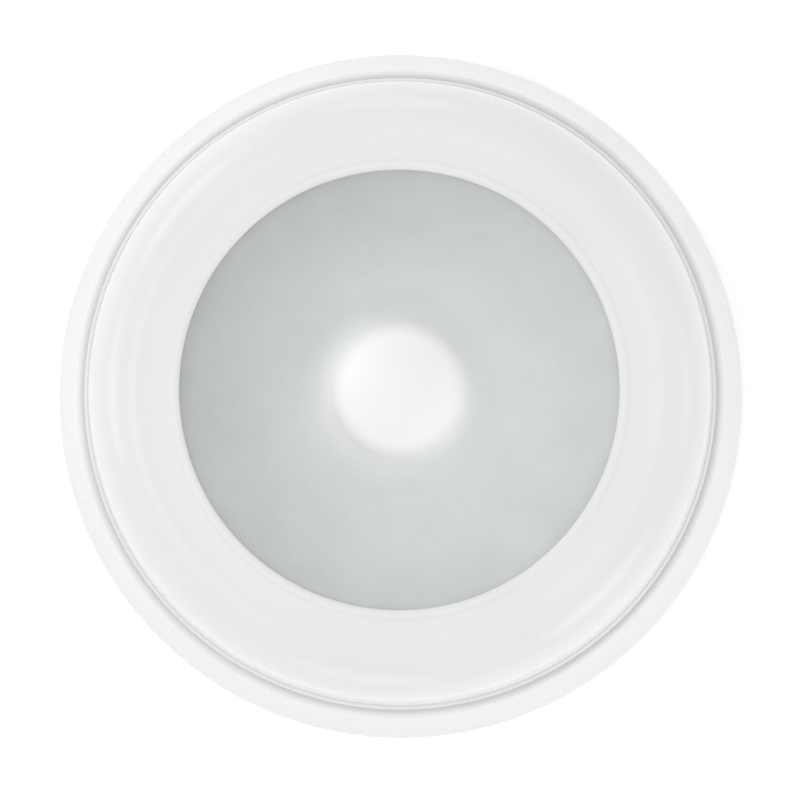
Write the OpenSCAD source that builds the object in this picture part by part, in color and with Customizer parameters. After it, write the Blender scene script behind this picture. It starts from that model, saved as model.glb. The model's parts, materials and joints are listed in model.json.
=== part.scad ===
// Spot-type heat detector: a self-resetting bimetal switch head on a twist-lock base.
// Frame: the origin is the centre of the mounting face, +Z points out of the detector's face,
// and +X runs along the slotted fixing holes. Everything is in millimetres.
// The head is drawn locked in its base. Turning it by +twist about Z brings it to its release stop.

/* [Base] */
// Diameter of the base at the mounting face
base_d = 100; // [98:0.5:102]
// Diameter of the base at its top edge
base_top_d = 94.6; // [94:0.1:95]
// Height of the base
base_h = 14; // [13.8:0.1:14.4]
// Thickness of the base's floor
floor_t = 2.4; // [2:0.1:2.6]
// Diameter of the cable entry
wire_entry_d = 24; // [16:1:26]

/* [Fixings] */
// Distance between the centres of the two slots
slot_pitch = 60; // [58:0.5:61]
// Length of a slot, end to end
slot_length = 14; // [10:0.5:15]
// Distance between the two round holes
hole_pitch = 66.7; // [60:0.1:68]
// Width of the slots and diameter of the holes
fixing_d = 4.5; // [4:0.1:4.8]

/* [Head] */
// Diameter of the thin rim between base and cover
rim_d = 92.2; // [92:0.1:93]
// Diameter of the cover at its lower edge
cover_d = 91; // [90.8:0.1:91.2]
// Height of the front face above the mounting face
face_z = 38.5; // [38.2:0.1:40]
// Radius of the cover's rounded shoulder
shoulder_r = 6.7; // [6.2:0.1:7]
// Slope of the cover's face, down towards the plate, in degrees
face_slope = 3.5; // [2:0.5:4]
// Diameter of the cover's opening
opening_d = 63.8; // [63.4:0.1:64.2]
// Rounding of the opening's edge
lip_round = 0.7; // [0.3:0.1:0.9]

/* [Heat plate] */
// Diameter of the raised boss at its edge
boss_d = 19; // [18.8:0.1:19.4]
// Slope of the boss's dome at its edge, in degrees
boss_slope = 22; // [20:0.5:23]
// Depth of the dish below the plate's rim
dish_depth = 0.85; // [0.7:0.05:0.9]
// Sheet thickness of the plate
plate_t = 0.8; // [0.7:0.05:0.8]

/* [Lock and switch] */
// Turn from locked to release, in degrees
twist = 20; // [18:0.5:22]
// Stroke of the push pin
pin_stroke = 0.6; // [0.5:0.05:0.6]

/* [Hidden] */
$fn = 96;

// Clearances
fit = 0.1;          // between pieces that slide past each other
seam_gap = 0.5;     // between the base's top edge and the head's rim

// Screws: shank radii, and the play of the holes they go through
bore_play = 0.05;   // in the piece the thread bites into
hole_play = 0.2;    // in the piece that is clamped
cover_screw_r = 1.2;
cover_screw_l = 10; // reach above the chassis
block_screw_r = 1;
bridge_screw_r = 0.9;
contact_screw_r = 0.85;
ring_screw_r = 0.8;

// Base
base_r = base_d / 2;
base_top_r = base_top_d / 2;
base_foot_h = 1.2;  // the short upright band at the mounting face
base_edge = 0.8;    // rounding of the top edge
skirt_wall = 2;
base_in_top_r = base_top_r - skirt_wall;
base_in_foot_r = base_r - skirt_wall - 0.3;
collar_h = 1;
collar_wall = 1.5;

// Head heights
chassis_z = base_h + seam_gap;      // rear face of the chassis
chassis_t = 2;
deck_z = chassis_z + chassis_t;     // inner face of the chassis, where the switch stands
rim_round = 0.6;

// Twist lock
lugs = 3;
lug_w = 14;         // degrees
lug_z = 5.7;
lug_h = 2.6;
lug_r = 44.6;
lock_ring_in = 40.6;
lock_ring_out = 42.2;
lock_ring_z = 4.8;
ledge_in = 42.9;
ledge_out = 47.2;
stop_out = 47.9;
ledge_z = lug_z + lug_h + 2 * fit;
ledge_h = 1.8;
stop_w = 2.5;       // degrees
stop_play = 0.3;    // degrees between a lug and its stop
ledge_a0 = -lug_w / 2 - stop_play;
ledge_a1 = twist - lug_w / 2 - 1;

// Terminals: clips in the base, blades on the head
terminals = 4;
post_a = 37;        // angle of the first terminal post
post_w = 16;        // degrees
post_z = 7.2;
clip_t = 0.6;
clip_in = 33.2;
clip_out = 38.6;
clip_a0 = -9;       // degrees from the post
clip_a1 = 22;
terminal_r = 35.8;
clamp_size = 6.8;
clamp_t = 0.9;
terminal_shank_r = 1.7;
blade_a = 15.5;     // degrees from the post, when locked
blade_w = 9;        // degrees
blade_t = 0.8;
blade_web_r = 31.4;
blade_foot_r = 38.2;
blade_tab_r = 25.5;
blade_foot_z = post_z - fit - blade_t;
rivet_r = 28.4;
rivet_shank_r = 1.5;
rivet_head_h = 0.8;

// Cover
cover_r = cover_d / 2;
cover_wall = 2;
cover_top_r = cover_r - 0.5;                    // where the wall meets the shoulder
shoulder_x = cover_top_r - shoulder_r;
shoulder_z = face_z - shoulder_r;
opening_r = opening_d / 2;
lip_t = 1.2;
lip_rise = 0.12;                                // raised band around the opening
lip_out = opening_r + 1.4;
lip_foot_z = face_z - (shoulder_x - lip_out) * tan(face_slope);
seat_r = opening_r + 2.3;                       // recess that centres the plate
boss_ring_r = 38;
boss_post_r = 2.7;
boss_posts = 3;
boss_post_a = 60;
spigot_in = 41;
spigot_out = 43.2;
spigot_h = 3;
seal_r = 0.6;
seal_z = deck_z + 1.7;
seal_groove = 1.4;

// Heat plate
plate_z = face_z - lip_t;                       // upper face of the plate's rim
plate_r = seat_r - 0.3;
dish_z = plate_z - dish_depth;
boss_r = boss_d / 2;
boss_edge = 1;                                  // rounding of the boss's edge
flare_r = 6;                                    // blend between boss and dish
flare_slope = 30;                               // steepest slope, degrees
edge_w = boss_edge * (sin(flare_slope) - sin(boss_slope));
crown_w = boss_r - edge_w / 2;                  // the dome's reach
crown_r = crown_w / sin(boss_slope);            // the dome's radius of curvature
flare_x = crown_w + edge_w + flare_r * sin(flare_slope);
flare_z = dish_z + flare_r;
boss_edge_z = flare_z - (flare_r + boss_edge) * cos(flare_slope);
crown_z = boss_edge_z - (crown_r - boss_edge) * cos(boss_slope);
dish_out = opening_r + 0.2;
land_w = 1.6;                                   // flat ring round the boss
gasket_t = 0.6;
clamp_ring_t = 1.2;
clamp_ear_a = 0;
clamp_ear_r = 37.3;
clamp_ear_w = 4;
clamp_ring_z = plate_z - plate_t - gasket_t - clamp_ring_t;

// Bimetal disc and its holder
disc_r = 7.9;
disc_t = 0.3;
disc_rise = 0.4;
holder_t = 0.6;
holder_z = dish_z - plate_t - holder_t;
disc_z = holder_z + 0.9;                        // the disc's edge

// Switch
leaf_z = deck_z + 10.5;
leaf_t = 0.25;
leaf_root_x = -8;
leaf_screw_x = -10.9;
tip_x = 5;
block_x = 13.5;
block_y = 7;
slab_h = 3;
bar_t = 0.6;
bar_w = 4;
bar_foot = 2.4;                                 // between a bar's upright and its two straps
arm_t = 0.8;
tip_head_r = 1.4;
tip_head_h = 0.8;
tip_stem_r = 0.7;
tip_upset_r = 1.1;                              // the riveted end of a contact's stem
tip_upset_h = 0.35;
pin_r = 1;
pin_play = 0.05;
pin_foot_z = leaf_z + leaf_t + 0.02;
pin_top_z = disc_z + disc_rise - 0.12;
lever = (tip_x - leaf_root_x) / -leaf_root_x;   // travel of the contact over travel of the pin
contact_gap = pin_stroke * lever + 0.01;
moving_tip_z = leaf_z - tip_head_h;
arm_z = moving_tip_z - contact_gap - tip_head_h - arm_t;
fixed_screw_x = 11.8;
calibration_x = 7.9;
calibration_guide_r = 1.7;
bridge_y = 8.4;
bridge_wall = 1;
bridge_top_z = leaf_z + 3.8;
bridge_ear_y = 11;
bridge_ear_t = 1.8;
bridge_screw_floor = 0.3;                       // left under the blind holes in the chassis
guide_r = 2.6;
guide_top_z = bridge_top_z + 3.6;
block_screw_y = 4.6;

// Points along an arc about [x, z], from angle a0 to a1
function arc(x, z, r, a0, a1, n = 8) =
    [for (i = [0:n]) let (a = a0 + (a1 - a0) * i / n) [x + r * cos(a), z + r * sin(a)]];

// The heat plate's surface lowered square to itself by t: 0 is the upper face, plate_t the lower one
function plate_line(t) = concat(
    arc(0, crown_z, crown_r - t, 90, 90 - boss_slope, 8),
    arc(crown_w - boss_edge * sin(boss_slope), boss_edge_z, boss_edge - t,
        90 - boss_slope, 90 - flare_slope, 4),
    arc(flare_x, flare_z, flare_r + t, 270 - flare_slope, 270, 10),
    [[flare_x + land_w, dish_z - t], [dish_out, plate_z - t], [plate_r, plate_z - t]]
);

// A ring segment between two radii, heights and angles
module sector(r0, r1, z0, z1, a0, a1) {
    rotate([0, 0, a0]) rotate_extrude(angle = a1 - a0)
        translate([r0, z0]) square([r1 - r0, z1 - z0]);
}

// Children repeated about Z, n times from angle a0
module around(n, a0 = 0) {
    for (i = [0:n - 1]) rotate([0, 0, a0 + 360 * i / n]) children();
}

// A pan-head screw with its head above z = 0 and its shank below, ending in a short point
module screw(shank_r, length, head_r, head_h) {
    crown = head_h * 0.4;
    slot_w = head_r * 0.32;
    slot_l = head_r * 1.2;
    difference() {
        rotate_extrude() polygon(concat(
            [[0, -length], [shank_r * 0.4, -length], [shank_r, -length + shank_r], [shank_r, 0], [head_r, 0]],
            [[head_r, head_h - crown]],
            arc(head_r - crown, head_h - crown, crown, 0, 90, 4),
            [[0, head_h]]
        ));
        for (a = [0, 90]) rotate([0, 0, a])
            translate([-slot_l / 2, -slot_w / 2, head_h * 0.4]) cube([slot_l, slot_w, head_h]);
    }
}

// The same screw driven from the other side
module screw_up(shank_r, length, head_r, head_h) {
    rotate([180, 0, 0]) screw(shank_r, length, head_r, head_h);
}

module base_shell() {
    color("white") difference() {
        union() {
            rotate_extrude() polygon(concat(
                [[0, 0], [base_r - 0.3, 0], [base_r, 0.3], [base_r, base_foot_h]],
                arc(base_top_r - base_edge, base_h - base_edge, base_edge, 10, 90, 6),
                [[base_in_top_r + 0.4, base_h], [base_in_top_r, base_h - 0.4]],
                [[base_in_foot_r, floor_t], [0, floor_t]]
            ));
            cylinder(h = floor_t + collar_h, r = wire_entry_d / 2 + collar_wall);
            around(lugs) {
                sector(ledge_in, ledge_out, ledge_z, ledge_z + ledge_h, ledge_a0 - stop_w, ledge_a1);
                for (a = [ledge_a0 - stop_w, twist + lug_w / 2 + stop_play])
                    sector(ledge_in, stop_out, floor_t / 2, ledge_z + 0.5, a, a + stop_w);
            }
            around(terminals, post_a)
                sector(clip_in - 0.8, clip_out + 0.7, floor_t / 2, post_z, -post_w / 2, post_w / 2);
        }
        translate([0, 0, -1]) cylinder(h = base_h, r = wire_entry_d / 2);
        around(lugs) sector(ledge_in, ledge_out - 0.9, -1, floor_t + 1, ledge_a0, ledge_a1);
        for (s = [-1, 1]) {
            translate([s * slot_pitch / 2, 0, 0]) fixing_slot();
            translate([0, s * hole_pitch / 2, -1]) cylinder(h = base_h, r = fixing_d / 2);
        }
        around(terminals, post_a)
            translate([terminal_r, 0, floor_t + 0.6]) cylinder(h = base_h, r = terminal_shank_r + fit / 2);
    }
}

module fixing_slot() {
    run = slot_length - fixing_d;
    for (x = [-run / 2, run / 2]) translate([x, 0, -1]) cylinder(h = base_h, r = fixing_d / 2);
    translate([-run / 2, -fixing_d / 2, -1]) cube([run, fixing_d, base_h]);
}

module terminal_clip(i) {
    lead_l = 2.4;   // the turned-up end that leads the blade in
    lead_lean = 25;
    inset = 0.4;
    color("lightgoldenrodyellow") rotate([0, 0, post_a + 90 * i]) difference() {
        union() {
            sector(clip_in, clip_out, post_z, post_z + clip_t, clip_a0, clip_a1);
            rotate([0, 0, clip_a1]) translate([clip_in + inset, -inset, post_z + 0.03])
                rotate([lead_lean, 0, 0]) cube([clip_out - clip_in - 2 * inset, lead_l, clip_t - 0.1]);
        }
        translate([terminal_r, 0, 0]) cylinder(h = base_h, r = terminal_shank_r + fit);
    }
}

module wire_clamps() {
    color("silver") around(terminals, post_a) translate([terminal_r, 0, post_z + clip_t]) difference() {
        translate([-clamp_size / 2, -clamp_size / 2, 0]) cube([clamp_size, clamp_size, clamp_t]);
        translate([0, 0, -1]) cylinder(h = clamp_t + 2, r = terminal_shank_r + fit);
    }
}

module terminal_screws() {
    color("silver") around(terminals, post_a) translate([terminal_r, 0, post_z + clip_t + clamp_t])
        rotate([0, 0, 30]) screw(terminal_shank_r, 5.4, 3, 2.2);
}

module chassis() {
    groove_z = seal_z - seal_groove / 2;
    color("whitesmoke") difference() {
        union() {
            rotate_extrude() polygon(concat(
                [[0, chassis_z], [lock_ring_in, chassis_z], [lock_ring_in, lock_ring_z]],
                [[lock_ring_out, lock_ring_z], [lock_ring_out, chassis_z]],
                arc(rim_d / 2 - rim_round, chassis_z + rim_round, rim_round, -90, 0, 4),
                arc(rim_d / 2 - rim_round, deck_z - rim_round, rim_round, 0, 90, 4),
                [[spigot_out, deck_z], [spigot_out, groove_z], [spigot_out - 1, groove_z]],
                [[spigot_out - 1, groove_z + seal_groove], [spigot_out, groove_z + seal_groove]],
                [[spigot_out, deck_z + spigot_h], [spigot_in, deck_z + spigot_h], [spigot_in, deck_z]],
                [[0, deck_z]]
            ));
            around(lugs)
                sector(lock_ring_out - 0.4, lug_r, lug_z, lug_z + lug_h, -lug_w / 2, lug_w / 2);
        }
        around(boss_posts, boss_post_a) translate([boss_ring_r, 0, 0])
            cylinder(h = face_z, r = cover_screw_r + hole_play);
        around(terminals, post_a + blade_a) translate([rivet_r, 0, 0])
            cylinder(h = face_z, r = rivet_shank_r + bore_play);
        for (s = [-1, 1]) {
            translate([0, s * block_screw_y, 0]) cylinder(h = face_z, r = block_screw_r + hole_play);
            translate([0, s * bridge_ear_y, chassis_z + bridge_screw_floor])
                cylinder(h = face_z, r = bridge_screw_r + bore_play);
        }
        translate([calibration_x, 0, 0]) cylinder(h = face_z, r = contact_screw_r + hole_play);
    }
}

module front_cover() {
    wall_in = cover_r - cover_wall;
    post_weld = 0.4;    // how far a post runs into the face
    ear_post_h = 1.4;
    color("white") difference() {
        union() {
            rotate_extrude() polygon(concat(
                [[cover_r - 0.2, deck_z], [cover_r, deck_z + 0.2]],
                arc(shoulder_x, shoulder_z, shoulder_r, 0, 90 + face_slope, 18),
                [[lip_out + lip_rise, lip_foot_z], [lip_out, lip_foot_z + lip_rise]],
                arc(opening_r + lip_round, lip_foot_z + lip_rise - lip_round, lip_round, 90, 180, 6),
                [[opening_r, plate_z], [seat_r, plate_z], [seat_r, plate_z - plate_t]],
                arc(shoulder_x, shoulder_z, shoulder_r - cover_wall, 90, 0, 12),
                [[wall_in, deck_z]]
            ));
            around(boss_posts, boss_post_a) translate([boss_ring_r, 0, deck_z])
                cylinder(h = face_z - cover_wall + post_weld - deck_z, r = boss_post_r);
            around(boss_posts, clamp_ear_a) translate([clamp_ear_r, 0, clamp_ring_z + clamp_ring_t])
                cylinder(h = ear_post_h, r = clamp_ear_w / 2 - fit);
        }
        around(boss_posts, boss_post_a) translate([boss_ring_r, 0, 0])
            cylinder(h = deck_z + cover_screw_l + 2, r = cover_screw_r + bore_play);
        around(boss_posts, clamp_ear_a) translate([clamp_ear_r, 0, 0])
            cylinder(h = face_z - 1, r = ring_screw_r + bore_play);
    }
}

module cover_screws() {
    color("silver") around(boss_posts, boss_post_a) translate([boss_ring_r, 0, chassis_z])
        screw_up(cover_screw_r, chassis_t + cover_screw_l, 2.3, 1.8);
}

module cover_seal() {
    color("dimgray") rotate_extrude() translate([spigot_out - 1 + seal_r + 0.02, seal_z])
        circle(r = seal_r, $fn = 32);
}

module heat_plate() {
    upper = plate_line(0);
    lower = plate_line(plate_t);
    last = len(lower) - 1;
    color("lightsteelblue") rotate_extrude()
        polygon(concat(upper, [for (i = [0:last]) lower[last - i]]));
}

module plate_gasket() {
    color("dimgray") sector(opening_r + 0.5, plate_r, clamp_ring_z + clamp_ring_t, plate_z - plate_t, 0, 360);
}

module plate_clamp_ring() {
    ear_in = seat_r - 1;
    color("lightgray") difference() {
        union() {
            cylinder_ring(opening_r - 0.6, seat_r + 0.3, clamp_ring_z, clamp_ring_t);
            around(boss_posts, clamp_ear_a) translate([0, 0, clamp_ring_z]) {
                translate([clamp_ear_r, 0, 0]) cylinder(h = clamp_ring_t, r = clamp_ear_w / 2);
                translate([ear_in, -clamp_ear_w / 2, 0])
                    cube([clamp_ear_r - ear_in, clamp_ear_w, clamp_ring_t]);
            }
        }
        around(boss_posts, clamp_ear_a) translate([clamp_ear_r, 0, 0])
            cylinder(h = face_z, r = ring_screw_r + hole_play);
    }
}

module cylinder_ring(r0, r1, z, h) {
    translate([0, 0, z]) difference() {
        cylinder(h = h, r = r1);
        translate([0, 0, -1]) cylinder(h = h + 2, r = r0);
    }
}

module clamp_ring_screws() {
    color("silver") around(boss_posts, clamp_ear_a) translate([clamp_ear_r, 0, clamp_ring_z])
        screw_up(ring_screw_r, 2.8, 1.7, 1.2);
}

// A shallow dome, higher at its middle when cold; hot, it snaps through and drives the pin
module bimetal_disc() {
    steps = 8;
    dome = [for (i = [0:steps]) [disc_r * i / steps, disc_rise * (1 - pow(i / steps, 2))]];
    color("rosybrown") translate([0, 0, disc_z]) rotate_extrude()
        polygon(concat(dome, [for (i = [0:steps]) dome[steps - i] + [0, disc_t]]));
}

// A shallow cup: the disc rests on its shelf, and its flange is bonded to the plate round the boss
module bimetal_retainer() {
    shelf_z = disc_z - 0.02;
    shelf_in = disc_r - 1.2;
    bore = disc_r + 0.15;
    wall_out = disc_r + 0.9;
    wall_top = shelf_z + 0.6;
    flange_out = flare_x + land_w;
    color("goldenrod") rotate_extrude() polygon([
        [shelf_in, holder_z], [flange_out, holder_z], [flange_out, holder_z + holder_t],
        [wall_out, holder_z + holder_t], [wall_out, wall_top], [bore, wall_top], [bore, shelf_z],
        [shelf_in, shelf_z]
    ]);
}

module contact_block() {
    post_y = 4;
    post_half = block_x - fixed_screw_x;    // half the fixed contact's post, along X
    guide_h = 2.4;
    bore_r = contact_screw_r + bore_play;
    color("saddlebrown") difference() {
        union() {
            translate([-block_x, -block_y, deck_z]) cube([2 * block_x, 2 * block_y, slab_h]);
            translate([-block_x, -post_y, deck_z]) cube([block_x + leaf_root_x, 2 * post_y, leaf_z - deck_z]);
            translate([fixed_screw_x - post_half, -post_y, deck_z])
                cube([2 * post_half, 2 * post_y, arm_z - deck_z]);
            translate([calibration_x, 0, deck_z]) cylinder(h = slab_h + guide_h, r = calibration_guide_r);
        }
        translate([leaf_screw_x, 0, leaf_z - 6]) cylinder(h = 8, r = bore_r);
        translate([fixed_screw_x, 0, arm_z - 5.5]) cylinder(h = 8, r = bore_r);
        translate([calibration_x, 0, 0]) cylinder(h = face_z, r = bore_r);
        for (s = [-1, 1]) translate([0, s * block_screw_y, 0])
            cylinder(h = deck_z + slab_h - 0.4, r = block_screw_r + bore_play);
    }
}

module block_screws() {
    color("silver") for (s = [-1, 1]) translate([0, s * block_screw_y, chassis_z])
        screw_up(block_screw_r, chassis_t + slab_h - 0.6, 1.9, 1.3);
}

module contact_bridge() {
    length = 2 * block_x;
    roof_t = 1.2;
    ear_r = 2.2;
    ear_root = bridge_y - bridge_wall / 2;
    color("ivory") difference() {
        union() {
            for (y = [-bridge_y, bridge_y - bridge_wall]) translate([-block_x, y, deck_z])
                cube([length, bridge_wall, bridge_top_z - deck_z]);
            translate([-block_x, -bridge_y, bridge_top_z - roof_t]) cube([length, 2 * bridge_y, roof_t]);
            translate([0, 0, bridge_top_z - 1]) cylinder(h = guide_top_z - bridge_top_z + 1, r = guide_r);
            for (s = [-1, 1]) translate([0, 0, deck_z]) {
                translate([0, s * bridge_ear_y, 0]) cylinder(h = bridge_ear_t, r = ear_r);
                translate([-ear_r, min(s * bridge_ear_y, s * ear_root), 0])
                    cube([2 * ear_r, bridge_ear_y - ear_root, bridge_ear_t]);
            }
        }
        cylinder(h = face_z, r = pin_r + pin_play);
        for (s = [-1, 1]) translate([0, s * bridge_ear_y, 0])
            cylinder(h = face_z, r = bridge_screw_r + hole_play);
    }
}

module bridge_screws() {
    color("silver") for (s = [-1, 1]) translate([0, s * bridge_ear_y, deck_z + bridge_ear_t])
        screw(bridge_screw_r, 3.2, 1.8, 1.2);
}

// A flat bar with round ends from p to q
module strap(p, q, width, t) {
    d = q - p;
    translate([p[0], p[1], 0]) rotate([0, 0, atan2(d[1], d[0])]) {
        cylinder(h = t, r = width / 2);
        translate([norm(d), 0, 0]) cylinder(h = t, r = width / 2);
        translate([0, -width / 2, 0]) cube([norm(d), width, t]);
    }
}

// The place of a blade's rivet, for blade number i
function rivet_at(i) =
    let (a = post_a + blade_a + 90 * i) [rivet_r * cos(a), rivet_r * sin(a)];

// The floor of a link bar: it joins two rivets to a foot at [x, 0]
module link_floor(x, first, second) {
    for (i = [first, second]) strap([x, 0], rivet_at(i), bar_w, bar_t);
}

module link_rivet_holes() {
    around(terminals, post_a + blade_a) translate([rivet_r, 0, 0])
        cylinder(h = face_z, r = rivet_shank_r + bore_play);
}

module leaf_link_bar() {
    back = -block_x - 0.1 - bar_t;
    top_z = leaf_z + leaf_t;
    color("darkgoldenrod") difference() {
        union() {
            translate([0, 0, deck_z]) link_floor(back - bar_foot, 1, 2);
            translate([back - bar_foot, -bar_w / 2, deck_z]) cube([bar_foot + bar_t, bar_w, bar_t]);
            translate([back, -bar_w / 2, deck_z]) cube([bar_t, bar_w, top_z + bar_t - deck_z]);
            translate([back, -bar_w / 2, top_z]) cube([leaf_root_x - 0.8 - back, bar_w, bar_t]);
        }
        link_rivet_holes();
        translate([leaf_screw_x, 0, leaf_z]) cylinder(h = 5, r = contact_screw_r + hole_play);
    }
}

module leaf_screw() {
    color("silver") translate([leaf_screw_x, 0, leaf_z + leaf_t + bar_t])
        screw(contact_screw_r, 5.5, 1.7, 1.1);
}

module contact_leaf() {
    end_x = -block_x + 0.3;
    root_y = 2.5;
    tip_r = 1.9;
    color("peru") translate([0, 0, leaf_z]) difference() {
        linear_extrude(leaf_t) union() {
            polygon([[end_x, -root_y], [leaf_root_x, -root_y], [tip_x, -tip_r],
                [tip_x, tip_r], [leaf_root_x, root_y], [end_x, root_y]]);
            translate([tip_x, 0]) circle(r = tip_r);
        }
        translate([leaf_screw_x, 0, -1]) cylinder(h = 3, r = contact_screw_r + hole_play);
        translate([tip_x, 0, -1]) cylinder(h = 3, r = tip_stem_r + 0.02);
    }
}

module moving_contact_tip() {
    color("gainsboro") translate([tip_x, 0, 0]) {
        translate([0, 0, moving_tip_z]) cylinder(h = tip_head_h - 0.01, r = tip_head_r);
        translate([0, 0, moving_tip_z + 0.1]) cylinder(h = tip_head_h + leaf_t, r = tip_stem_r);
        translate([0, 0, leaf_z + leaf_t + 0.01]) cylinder(h = tip_upset_h, r = tip_upset_r);
    }
}

module fixed_contact_bar() {
    back = block_x + 0.1;
    arm_end = tip_x - 2;
    color("darkgoldenrod") difference() {
        union() {
            translate([0, 0, deck_z]) link_floor(back + arm_t + bar_foot, 0, 3);
            translate([back, -bar_w / 2, deck_z]) cube([bar_foot + arm_t, bar_w, bar_t]);
            translate([back, -bar_w / 2, deck_z]) cube([arm_t, bar_w, arm_z + arm_t - deck_z]);
            translate([arm_end, -bar_w / 2, arm_z]) cube([back + arm_t - arm_end, bar_w, arm_t]);
        }
        link_rivet_holes();
        translate([fixed_screw_x, 0, arm_z - 1]) cylinder(h = 5, r = contact_screw_r + hole_play);
        translate([tip_x, 0, arm_z - 1]) cylinder(h = 5, r = tip_stem_r + 0.02);
    }
}

module fixed_contact_tip() {
    color("gainsboro") translate([tip_x, 0, 0]) {
        translate([0, 0, arm_z + arm_t]) cylinder(h = tip_head_h, r = tip_head_r);
        translate([0, 0, arm_z - 0.2]) cylinder(h = arm_t + 0.4, r = tip_stem_r);
        translate([0, 0, arm_z - tip_upset_h]) cylinder(h = tip_upset_h, r = tip_upset_r);
    }
}

module fixed_contact_screw() {
    color("silver") translate([fixed_screw_x, 0, arm_z + arm_t]) screw(contact_screw_r, 5, 1.6, 1.1);
}

// Driven from the rear: its end props the fixed contact and sets the gap
module calibration_screw() {
    color("gold") translate([calibration_x, 0, chassis_z])
        screw_up(contact_screw_r, arm_z - chassis_z - 0.02, 1.7, 0.9);
}

module contact_blade(i) {
    outer = 1.2;    // bend radius, outside
    inner = outer - blade_t;
    web_out = blade_web_r + blade_t;
    foot_top = blade_foot_z + blade_t;
    tab_z = chassis_z - blade_t;
    color("lightgoldenrodyellow") rotate([0, 0, post_a + blade_a + 90 * i]) difference() {
        rotate([0, 0, -blade_w / 2]) rotate_extrude(angle = blade_w) polygon(concat(
            [[blade_tab_r, chassis_z]],
            arc(web_out - outer, chassis_z - outer, outer, 90, 0, 4),
            arc(web_out + inner, foot_top + inner, inner, 180, 270, 4),
            [[blade_foot_r, foot_top], [blade_foot_r, blade_foot_z]],
            arc(blade_web_r + outer, blade_foot_z + outer, outer, 270, 180, 4),
            arc(blade_web_r - inner, tab_z - inner, inner, 0, 90, 4),
            [[blade_tab_r, tab_z]]
        ));
        translate([rivet_r, 0, 0]) cylinder(h = face_z, r = rivet_shank_r + bore_play);
    }
}

module blade_rivets() {
    low = chassis_z - blade_t;
    high = deck_z + bar_t;
    upset_top = high + rivet_head_h * 0.7;
    color("silver") around(terminals, post_a + blade_a) translate([rivet_r, 0, 0]) rotate_extrude() polygon([
        [0, low - rivet_head_h], [rivet_shank_r + 0.6, low - rivet_head_h], [rivet_shank_r + 1, low],
        [rivet_shank_r, low], [rivet_shank_r, high], [rivet_shank_r + 0.8, high],
        [rivet_shank_r + 0.5, upset_top], [0, upset_top]
    ]);
}

module push_pin() {
    chamfer = 0.3;
    color("white") rotate_extrude() polygon([
        [0, pin_foot_z], [pin_r - chamfer, pin_foot_z], [pin_r, pin_foot_z + chamfer],
        [pin_r, pin_top_z - chamfer], [pin_r - chamfer, pin_top_z], [0, pin_top_z]
    ]);
}

base_shell();
for (i = [0:terminals - 1]) {
    terminal_clip(i);
    contact_blade(i);
}
wire_clamps();
terminal_screws();
chassis();
front_cover();
cover_screws();
cover_seal();
heat_plate();
plate_gasket();
plate_clamp_ring();
clamp_ring_screws();
bimetal_disc();
bimetal_retainer();
contact_block();
block_screws();
contact_bridge();
bridge_screws();
leaf_link_bar();
leaf_screw();
contact_leaf();
fixed_contact_bar();
fixed_contact_screw();
fixed_contact_tip();
calibration_screw();
blade_rivets();
push_pin();
moving_contact_tip();
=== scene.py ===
import json
import math

import bmesh
import bpy
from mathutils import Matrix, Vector


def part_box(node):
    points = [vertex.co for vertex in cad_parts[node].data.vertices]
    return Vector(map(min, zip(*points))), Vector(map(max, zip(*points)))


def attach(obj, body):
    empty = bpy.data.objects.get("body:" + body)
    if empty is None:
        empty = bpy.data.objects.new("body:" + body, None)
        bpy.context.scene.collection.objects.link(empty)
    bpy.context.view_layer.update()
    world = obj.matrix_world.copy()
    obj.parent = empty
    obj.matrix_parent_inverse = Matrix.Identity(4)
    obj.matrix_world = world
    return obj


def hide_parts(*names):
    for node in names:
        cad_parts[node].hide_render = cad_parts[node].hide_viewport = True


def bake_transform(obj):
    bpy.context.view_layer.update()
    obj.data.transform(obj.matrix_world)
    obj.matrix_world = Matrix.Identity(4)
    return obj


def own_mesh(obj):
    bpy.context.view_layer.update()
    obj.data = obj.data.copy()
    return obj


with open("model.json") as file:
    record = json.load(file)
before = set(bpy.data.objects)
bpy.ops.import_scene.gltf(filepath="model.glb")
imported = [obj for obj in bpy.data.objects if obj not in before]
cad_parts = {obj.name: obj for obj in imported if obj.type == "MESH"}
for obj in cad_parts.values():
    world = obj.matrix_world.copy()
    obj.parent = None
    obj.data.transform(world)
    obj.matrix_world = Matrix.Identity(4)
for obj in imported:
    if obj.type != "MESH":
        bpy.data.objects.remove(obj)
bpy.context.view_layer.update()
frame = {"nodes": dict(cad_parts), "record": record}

# A heat detector, seen square on to its face. Every CAD node gets a node material, and four of them get a
# finer mesh of the same shape and size: the cover, the heat plate, the snap disc and the contact leaf.

MM = 0.001
SEGMENTS = 288          # round a turned piece
ROD_SEGMENTS = 64       # round a post or a bore
ON_AXIS = 1e-6          # a radius below this, in millimetres, is a point on the axis
SMOOTH_BELOW = 35       # degrees between faces that still shade as one surface


# ---------------------------------------------------------------- sizes in mm, most of them from the frame
def low(node):
    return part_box(node)[0] / MM


def high(node):
    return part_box(node)[1] / MM


COVER_R = high("front_cover").x
DECK_Z = low("front_cover").z               # where the cover stands on the chassis
FACE_Z = high("front_cover").z
PLATE_R = high("heat_plate").x
PLATE_T = 0.8
BOSS_Z = high("heat_plate").z
RIM_Z = high("plate_gasket").z + PLATE_T    # upper face of the plate's flat rim
OPENING_R = PLATE_R - 2.0                   # the cover's opening, over the plate's rim
SEAT_R = PLATE_R + 0.3                      # the recess that the plate sits in
POST_R = 38.0                               # circle of the cover's screw posts
EAR_R = 37.3                                # circle of the ears for the clamp ring's screws
EAR_Z = high("plate_clamp_ring").z


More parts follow.
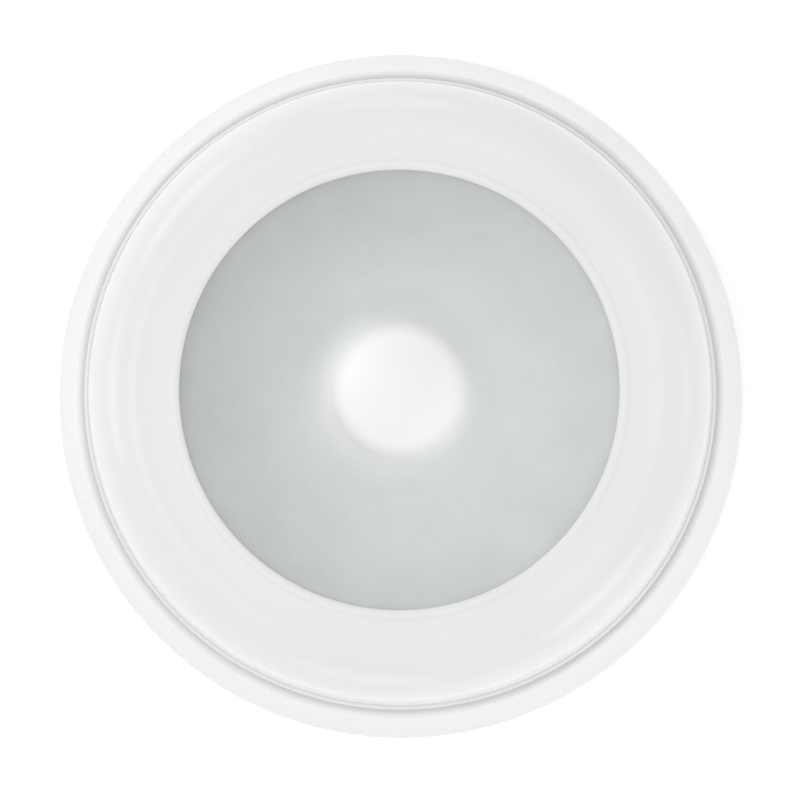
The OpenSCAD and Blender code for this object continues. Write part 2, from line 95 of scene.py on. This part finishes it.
# ---------------------------------------------------------------- mesh tools
def arc(x, z, r, a0, a1, steps):
    """Points along an arc about (x, z), from angle a0 to a1 in degrees."""
    angles = [math.radians(a0 + (a1 - a0) * i / steps) for i in range(steps + 1)]
    return [(x + r * math.cos(a), z + r * math.sin(a)) for a in angles]


def mesh_object(name, bm):
    """An object in the scene, made from a bmesh in metres."""
    mesh = bpy.data.meshes.new(name)
    bm.to_mesh(mesh)
    bm.free()
    obj = bpy.data.objects.new(name, mesh)
    bpy.context.scene.collection.objects.link(obj)
    return obj


def solid_object(name, bm):
    """The same for a closed bmesh, with all its faces turned outwards."""
    bmesh.ops.recalc_face_normals(bm, faces=bm.faces)
    return mesh_object(name, bm)


def slot_of(node):
    """The record's material slot of a CAD node."""
    return next(s["material_slot"] for s in frame["record"]["subparts"] if s["node"] == node)


def stand_for(obj, node):
    """Shades a piece, gives it the material of a CAD node and hides that node, whose place it takes."""
    obj.data.polygons.foreach_set("use_smooth", [True] * len(obj.data.polygons))
    obj.data.set_sharp_from_angle(angle=math.radians(SMOOTH_BELOW))
    obj.data.materials.append(MATERIALS[slot_of(node)])
    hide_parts(node)


def lathe(outline, segments=SEGMENTS):
    """A bmesh in metres turned about Z from a closed outline of (radius, height) in millimetres."""
    bm = bmesh.new()
    rings = []
    for r, z in outline:
        if r < ON_AXIS:
            rings.append([bm.verts.new((0, 0, z * MM))])
            continue
        angles = [2 * math.pi * i / segments for i in range(segments)]
        rings.append([bm.verts.new((r * MM * math.cos(a), r * MM * math.sin(a), z * MM)) for a in angles])
    for a, b in zip(rings, rings[1:] + rings[:1]):
        if len(a) == 1 and len(b) == 1:
            continue
        for i in range(segments):
            j = (i + 1) % segments
            corners = [a[i % len(a)], a[j % len(a)], b[j % len(b)], b[i % len(b)]]
            bm.faces.new(list(dict.fromkeys(corners)))
    return bm


def combined(bm, operation, solids):
    """A bmesh with closed solids merged into it (UNION) or cut out of it (DIFFERENCE)."""
    base = solid_object("scratch", bm)
    for solid in solids:
        other = solid_object("scratch", solid)
        boolean = base.modifiers.new("boolean", "BOOLEAN")
        boolean.operation = operation
        boolean.solver = "MANIFOLD"
        boolean.object = other
        result = bmesh.new()
        result.from_object(base, bpy.context.evaluated_depsgraph_get())
        base.modifiers.clear()
        result.to_mesh(base.data)
        result.free()
        bpy.data.objects.remove(other)
    merged = bmesh.new()
    merged.from_mesh(base.data)
    bpy.data.objects.remove(base)
    return merged


def rods(azimuths, ring_r, z0, z1, r):
    """Round rods parallel to the axis, standing on a circle about it."""
    made = []
    for azimuth in azimuths:
        a = math.radians(azimuth)
        bm = lathe([(0, z0), (r, z0), (r, z1), (0, z1)], ROD_SEGMENTS)
        bmesh.ops.translate(bm, verts=bm.verts, vec=Vector((math.cos(a), math.sin(a), 0)) * ring_r * MM)
        made.append(bm)
    return made


# ---------------------------------------------------------------- material tools
class Nodes:
    """A short way to write a node material around one Principled shader."""

    def __init__(self, name):
        self.material = bpy.data.materials.new(name)
        self.material.use_nodes = True
        self.tree = self.material.node_tree
        self.shader = self.tree.nodes["Principled BSDF"]
        self.place = self.new("ShaderNodeTexCoord").outputs["Object"]

    def new(self, kind, **values):
        node = self.tree.nodes.new(kind)
        for key, value in values.items():
            setattr(node, key, value)
        return node

    def link(self, a, b):
        self.tree.links.new(a, b)

    def noise(self, size_mm, detail=4.0, roughness=0.5):
        """Noise with features of about that size."""
        node = self.new("ShaderNodeTexNoise")
        node.inputs["Scale"].default_value = 1 / (size_mm * MM)
        node.inputs["Detail"].default_value = detail
        node.inputs["Roughness"].default_value = roughness
        self.link(self.place, node.inputs["Vector"])
        return node.outputs["Fac"]

    def ramp(self, value, low_in, high_in, low_out, high_out, smooth=False):
        """Maps a value's range onto another, clamped."""
        kind = "SMOOTHSTEP" if smooth else "LINEAR"
        node = self.new("ShaderNodeMapRange", interpolation_type=kind)
        self.link(value, node.inputs["Value"])
        node.inputs["From Min"].default_value = low_in
        node.inputs["From Max"].default_value = high_in
        node.inputs["To Min"].default_value = low_out
        node.inputs["To Max"].default_value = high_out
        return node.outputs["Result"]

    def mix(self, factor, a, b):
        """Colour a where the factor is 0, b where it is 1. Each is a colour or a socket."""
        node = self.new("ShaderNodeMix", data_type="RGBA")
        self.link(factor, node.inputs["Factor"])
        for value, socket in ((a, node.inputs[6]), (b, node.inputs[7])):
            if isinstance(value, tuple):
                socket.default_value = (*value, 1)
            else:
                self.link(value, socket)
        return node.outputs[2]

    def math(self, operation, a, b):
        node = self.new("ShaderNodeMath", operation=operation)
        for value, socket in ((a, node.inputs[0]), (b, node.inputs[1])):
            if isinstance(value, (int, float)):
                socket.default_value = value
            else:
                self.link(value, socket)
        return node.outputs[0]

    def radius(self, x_mm=0.0, y_mm=0.0):
        """Distance from a line parallel to the detector's axis, in metres."""
        shifted = self.new("ShaderNodeVectorMath", operation="SUBTRACT")
        self.link(self.place, shifted.inputs[0])
        shifted.inputs[1].default_value = (x_mm * MM, y_mm * MM, 0)
        parts = self.new("ShaderNodeSeparateXYZ")
        self.link(shifted.outputs["Vector"], parts.inputs[0])
        flat = self.new("ShaderNodeCombineXYZ")
        self.link(parts.outputs["X"], flat.inputs["X"])
        self.link(parts.outputs["Y"], flat.inputs["Y"])
        length = self.new("ShaderNodeVectorMath", operation="LENGTH")
        self.link(flat.outputs[0], length.inputs[0])
        return length.outputs["Value"]

    def along(self, azimuth):
        """Distance from the axis in that direction, in metres."""
        a = math.radians(azimuth)
        dot = self.new("ShaderNodeVectorMath", operation="DOT_PRODUCT")
        self.link(self.place, dot.inputs[0])
        dot.inputs[1].default_value = (math.cos(a), math.sin(a), 0)
        return dot.outputs["Value"]

    def bump(self, height, depth_mm, below=None):
        node = self.new("ShaderNodeBump")
        node.inputs["Distance"].default_value = depth_mm * MM
        self.link(height, node.inputs["Height"])
        if below:
            self.link(below, node.inputs["Normal"])
        return node.outputs["Normal"]

    def use(self, color=None, rough=None, normal=None, **fixed):
        for socket, name in ((color, "Base Color"), (rough, "Roughness"), (normal, "Normal")):
            if socket:
                self.link(socket, self.shader.inputs[name])
        for name, value in fixed.items():
            self.shader.inputs[name.replace("_", " ").title()].default_value = value
        return self.material


# ---------------------------------------------------------------- materials
def moulded_plastic(name, light, dark, rough, texture_mm=0.16, depth_mm=0.002):
    """Moulded plastic: a faint cloud in the colour, a fine eroded texture and a slight waviness."""
    m = Nodes(name)
    cloud = m.ramp(m.noise(17, 3), 0.3, 0.7, 0, 1)
    color = m.mix(cloud, dark, light)
    patch = m.noise(6, 5, 0.6)
    roughness = m.ramp(patch, 0.25, 0.75, rough - 0.05, rough + 0.05)
    wave = m.bump(m.noise(14, 1), 0.02)
    skin = m.bump(m.noise(texture_mm, 2), depth_mm, below=wave)
    return m.use(color, roughness, skin)


def pressed_aluminium(name):
    """Cloudy satin sheet, with a painted highlight over the boss and a painted glow beside it. Painted
    light lightens its tone towards the lower right, and painted shade darkens it towards its rim.
    """
    m = Nodes(name)
    # The last of these colours is a painted highlight, laid on the boss and on the glow beside it.
    dark, light, painted_highlight_colour = (0.484, 0.497, 0.502), (0.662, 0.680, 0.687), (0.868, 0.868, 0.863)
    # Painted light and shade: the sheet is painted lighter towards this azimuth, the lower right, and
    # darker towards the upper left.
    painted_light_azimuth = -25
    cloud_and_painted_light_gain = 11.0           # change of tone per metre along the painted light, which also scales the cloud
    mean_tone = 0.85
    # Painted shade: how far the sheet is darkened at its rim, under the cover's lip.
    painted_shade_at_rim = 0.46
    # Painted light: the strength of a glow painted on the sheet beside the boss's lower left flank.
    painted_glow_strength = 0.38

    coarse = m.math("MULTIPLY", m.noise(9, 6, 0.62), 0.7)
    fine = m.math("MULTIPLY", m.noise(0.7, 3, 0.7), 0.3)
    cloud = m.ramp(m.math("ADD", coarse, fine), 0.35, 0.65, -8 * MM, 8 * MM)
    # Painted light across the sheet, lighter to the lower right, with the random cloud added to it.
    cloud_and_painted_light = m.math("MULTIPLY", m.math("ADD", m.along(painted_light_azimuth), cloud), cloud_and_painted_light_gain)
    # Painted shade, growing from 16 mm out to the rim.
    painted_rim_shade = m.ramp(m.radius(), 16 * MM, 32 * MM, 0, painted_shade_at_rim)
    tone = m.math("SUBTRACT", cloud_and_painted_light, m.math("SUBTRACT", painted_rim_shade, mean_tone))
    sheet = m.mix(m.ramp(tone, 0, 1, 0, 1), dark, light)

    # Painted highlight over the boss's dome, where it reflects the light.
    painted_highlight_mask = m.ramp(m.radius(), 7.4 * MM, 11.6 * MM, 1, 0, smooth=True)
    # Painted glow of light on the sheet, centred a little to the lower left of the boss.
    painted_glow_mask = m.ramp(m.radius(-1.0, -0.8), 8.5 * MM, 15 * MM, painted_glow_strength, 0, smooth=True)
    color = m.mix(m.math("MAXIMUM", painted_highlight_mask, painted_glow_mask), sheet, painted_highlight_colour)

    satin = m.ramp(m.noise(5, 4), 0.3, 0.7, 0.52, 0.60)
    brushed = m.ramp(m.radius(), 11 * MM, 16.5 * MM, 0.08, 0, smooth=True)
    grain = m.bump(m.noise(0.25, 3), 0.003)
    return m.use(color, m.math("ADD", satin, brushed), grain, metallic=1.0)


def metal(name, light, dark, rough, size_mm=2.5):
    """A plain metal with a faint cloud, scuffs in its gloss and a fine grain."""
    m = Nodes(name)
    color = m.mix(m.ramp(m.noise(size_mm, 5, 0.6), 0.3, 0.7, 0, 1), dark, light)
    roughness = m.ramp(m.noise(size_mm / 3, 4), 0.3, 0.7, rough - 0.06, rough + 0.08)
    grain = m.bump(m.noise(0.12, 2), 0.002)
    return m.use(color, roughness, grain, metallic=1.0)


def rubber(name):
    m = Nodes(name)
    color = m.mix(m.noise(3, 4), (0.018, 0.018, 0.018), (0.035, 0.034, 0.033))
    roughness = m.ramp(m.noise(1, 4), 0.3, 0.7, 0.6, 0.8)
    return m.use(color, roughness, m.bump(m.noise(0.2, 3), 0.006))


def floor_paint(name):
    m = Nodes(name)
    color = m.mix(m.noise(300, 2), (0.93, 0.93, 0.93), (0.95, 0.95, 0.95))
    m.shader.inputs["Emission Color"].default_value = (1, 1, 1, 1)
    return m.use(color, m.ramp(m.noise(40, 2), 0, 1, 0.85, 0.95), emission_strength=0.12)


# Each row: the tool, then its light colour, dark colour, roughness and any further values.
RECIPES = {
    "white_abs": (moulded_plastic, (0.736, 0.738, 0.734), (0.721, 0.723, 0.720), 0.25),
    "chassis_abs": (moulded_plastic, (0.722, 0.723, 0.724), (0.705, 0.706, 0.709), 0.32),
    "pressed_aluminium": (pressed_aluminium,),
    "zinc_steel": (metal, (0.72, 0.72, 0.70), (0.60, 0.60, 0.59), 0.32),
    "terminal_brass": (metal, (0.78, 0.62, 0.30), (0.66, 0.50, 0.22), 0.34),
    "bimetal": (metal, (0.62, 0.55, 0.47), (0.50, 0.43, 0.37), 0.36),
    "retainer_brass": (metal, (0.76, 0.60, 0.29), (0.62, 0.47, 0.21), 0.38),
    "phenolic": (moulded_plastic, (0.075, 0.035, 0.02), (0.05, 0.024, 0.014), 0.5, 0.3, 0.006),
    "natural_nylon": (moulded_plastic, (0.78, 0.74, 0.62), (0.72, 0.68, 0.56), 0.42, 0.3),
    "leaf_bronze": (metal, (0.70, 0.42, 0.24), (0.58, 0.33, 0.18), 0.28, 1.5),
    "silver_contact": (metal, (0.88, 0.87, 0.84), (0.74, 0.73, 0.71), 0.26, 1.0),
    "pin_ceramic": (moulded_plastic, (0.80, 0.78, 0.72), (0.74, 0.72, 0.66), 0.55, 0.3, 0.004),
    "black_rubber": (rubber,),
    "calibration_brass": (metal, (0.80, 0.64, 0.31), (0.68, 0.52, 0.24), 0.26, 1.5),
}
MATERIALS = {name: tool(name, *values) for name, (tool, *values) in RECIPES.items()}


def paint_cad_nodes():
    """Every CAD node that still shows gets the node material of its slot."""
    for name, obj in frame["nodes"].items():
        obj.data.materials.clear()
        obj.data.materials.append(MATERIALS[slot_of(name)])


# ---------------------------------------------------------------- pieces
def front_cover():
    """The domed cover, with three screw posts and three ears for the plate's clamp ring."""
    wall = 2.0
    shoulder_r = 6.7
    draft = 0.5
    face_slope = 3.5
    lip_round = 0.7
    lip_rise = 0.12
    lip_out = OPENING_R + 1.4
    edge = 0.2
    shoulder_x = COVER_R - draft - shoulder_r
    shoulder_z = FACE_Z - shoulder_r
    lip_foot = FACE_Z - (shoulder_x - lip_out) * math.tan(math.radians(face_slope))
    lip_top = lip_foot + lip_rise
    lip_foot_x = lip_out + lip_rise + edge / 2
    foot_round = 0.25
    outline = (
        arc(COVER_R - foot_round, DECK_Z + foot_round, foot_round, -90, 0, 4)
        + arc(shoulder_x, shoulder_z, shoulder_r, 1, 90 + face_slope, 48)
        + arc(lip_foot_x, lip_foot + edge, edge, -90, -135, 3)
        + arc(lip_out - edge / 2, lip_top - edge, edge, 45, 90, 3)
        + arc(OPENING_R + lip_round, lip_top - lip_round, lip_round, 90, 180, 12)
        + [(OPENING_R, RIM_Z), (SEAT_R, RIM_Z), (SEAT_R, RIM_Z - PLATE_T)]
        + arc(shoulder_x, shoulder_z, shoulder_r - wall, 90, 0, 24)
        + [(COVER_R - wall, DECK_Z)]
    )
    post_at, post_r, post_bore_r, post_bore = (60, 180, 300), 2.7, 1.25, 12
    ear_at, ear_r, ear_bore_r, ear_height = (0, 120, 240), 1.9, 0.85, 1.4
    post_skin = 1.6         # a post ends this far below the top of the face
    ear_skin = 1.0          # an ear's bore ends this far below it
    clear = 1.0             # a bore starts this far outside its post or ear
    posts = rods(post_at, POST_R, DECK_Z, FACE_Z - post_skin, post_r)
    posts += rods(ear_at, EAR_R, EAR_Z, EAR_Z + ear_height, ear_r)
    bores = rods(post_at, POST_R, DECK_Z - clear, DECK_Z + post_bore, post_bore_r)
    bores += rods(ear_at, EAR_R, EAR_Z - clear, FACE_Z - ear_skin, ear_bore_r)
    bored = combined(combined(lathe(outline), "UNION", posts), "DIFFERENCE", bores)
    shell = solid_object("front_cover_shell", bored)
    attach(shell, "head")
    stand_for(shell, "front_cover")


def plate_outline(drop):
    """The heat plate's surface from the axis outwards, lowered square to itself by drop."""
    boss_r = 9.5
    boss_slope = 22
    edge = 1.0
    flare = 6.0
    flare_slope = 30
    land_w = 1.6
    dish_depth = 0.85
    foot_z = RIM_Z - dish_depth
    sin_boss = math.sin(math.radians(boss_slope))
    sin_flare = math.sin(math.radians(flare_slope))
    edge_w = edge * (sin_flare - sin_boss)
    crown_w = boss_r - edge_w / 2
    crown_r = crown_w / sin_boss
    flare_x = crown_w + edge_w + flare * sin_flare
    edge_z = foot_z + flare - (flare + edge) * math.cos(math.radians(flare_slope))
    bowl_r = OPENING_R + 0.2
    line = arc(0, BOSS_Z - crown_r, crown_r - drop, 90, 90 - boss_slope, 24)
    line += arc(crown_w - edge * sin_boss, edge_z, edge - drop, 90 - boss_slope, 90 - flare_slope, 8)[1:]
    line += arc(flare_x, foot_z + flare, flare + drop, 270 - flare_slope, 270, 24)
    line += [(flare_x + land_w, foot_z - drop), (bowl_r, RIM_Z - drop), (PLATE_R, RIM_Z - drop)]
    return line


def heat_plate():
    """The dished plate and its boss, pressed from one sheet."""
    outline = plate_outline(0) + plate_outline(PLATE_T)[::-1]
    sheet = solid_object("heat_plate_sheet", lathe(outline))
    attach(sheet, "head")
    stand_for(sheet, "heat_plate")


def bimetal_disc():
    """The snap disc, domed as it is when cold. Its flattening as it pushes the pin is not drawn."""
    edge_z = low("bimetal_disc").z
    reach = high("bimetal_disc").x
    thick = 0.3
    rise = high("bimetal_disc").z - thick - edge_z
    steps = 24
    edge = 0.05
    under = [(reach * i / steps, edge_z + rise * (1 - (i / steps) ** 2)) for i in range(steps)]
    rim = arc(reach - edge, edge_z + edge, edge, -60, 0, 3)
    rim += arc(reach - edge, edge_z + thick - edge, edge, 0, 60, 3)
    over = [(r, z + thick) for r, z in under[::-1]]
    disc = solid_object("bimetal_snap_disc", lathe(under + rim + over, SEGMENTS // 2))
    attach(disc, "head")
    stand_for(disc, "bimetal_disc")
    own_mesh(disc)


def contact_leaf():
    """The spring leaf, cut across every half millimetre."""
    step = 0.5
    welded = 1e-7               # metres
    bm = bmesh.new()
    bm.from_mesh(frame["nodes"]["contact_leaf"].data)
    bmesh.ops.remove_doubles(bm, verts=bm.verts, dist=welded)
    x = low("contact_leaf").x + step
    while x < high("contact_leaf").x:
        geometry = bm.verts[:] + bm.edges[:] + bm.faces[:]
        bmesh.ops.bisect_plane(bm, geom=geometry, plane_co=(x * MM, 0, 0), plane_no=(1, 0, 0))
        x += step
    leaf = mesh_object("contact_leaf_spring", bm)
    stand_for(leaf, "contact_leaf")
    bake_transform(leaf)


# ---------------------------------------------------------------- the studio
LIGHT_DISTANCE = 0.9        # metres from the detector's face to every softbox


def area_light(name, azimuth, tilt, size, radiance):
    """A round softbox seen from the detector at that azimuth, tilted that far from straight above."""
    data = bpy.data.lights.new(name, "AREA")
    data.shape = "DISK"
    data.size = size
    area = math.pi * size * size / 4
    data.energy = radiance * math.pi * area
    light = bpy.data.objects.new(name, data)
    a, t = math.radians(azimuth), math.radians(tilt)
    place = Vector((math.sin(t) * math.cos(a), math.sin(t) * math.sin(a), math.cos(t))) * LIGHT_DISTANCE
    light.location = place + Vector((0, 0, FACE_Z * MM))
    light.rotation_euler = place.to_track_quat("Z", "Y").to_euler()
    bpy.context.scene.collection.objects.link(light)


def floor():
    """The white table that the detector stands on."""
    half_width = 6          # metres
    bm = bmesh.new()
    bmesh.ops.create_grid(bm, x_segments=8, y_segments=8, size=half_width)
    table = mesh_object("studio_floor", bm)
    table.data.materials.append(floor_paint("floor_paint"))


def surroundings(level):
    """An even white sky of that strength."""
    world = bpy.data.worlds.new("studio_air")
    bpy.context.scene.world = world
    world.use_nodes = True
    background = world.node_tree.nodes["Background"]
    background.inputs["Color"].default_value = (1, 1, 1, 1)
    background.inputs["Strength"].default_value = level


def camera():
    """Looks almost straight down on the face, from far off through a long lens."""
    lens = 1050
    sensor = 36
    picture_w = 117.3 * MM      # width of the picture where the detector stands
    distance = lens * picture_w / sensor
    lean = math.radians(1.45)   # towards the front
    side = math.radians(0.3)    # towards the right
    data = bpy.data.cameras.new("camera")
    data.lens = lens
    data.sensor_width = sensor
    data.clip_start = 0.1
    data.clip_end = 20
    cam = bpy.data.objects.new("camera", data)
    bpy.context.scene.collection.objects.link(cam)
    aim = Vector((-0.11 * MM, -0.51 * MM, 0))
    back = Vector((math.sin(side), -math.sin(lean), math.cos(lean)))
    cam.location = aim + back * distance
    cam.rotation_euler = (lean, side, 0)
    bpy.context.scene.camera = cam


def studio():
    floor()
    surroundings(0.875)
    area_light("overhead_left", azimuth=180, tilt=12, size=0.3, radiance=1.3)
    area_light("left", azimuth=190, tilt=40, size=0.3, radiance=0.3)
    area_light("shoulder_left", azimuth=178, tilt=62, size=0.4, radiance=2.0)
    area_light("shoulder_top_left", azimuth=138, tilt=62, size=0.4, radiance=2.1)
    area_light("shoulder_low_right", azimuth=316, tilt=61, size=0.4, radiance=2.2)
    area_light("right", azimuth=0, tilt=62, size=0.4, radiance=1.1)
    area_light("top", azimuth=90, tilt=68, size=0.4, radiance=1.0)
    area_light("low_front", azimuth=262, tilt=70, size=0.4, radiance=1.2)
    camera()
    view = bpy.context.scene.view_settings
    view.view_transform = "Standard"
    view.look = "None"


paint_cad_nodes()
front_cover()
heat_plate()
bimetal_disc()
contact_leaf()
studio()
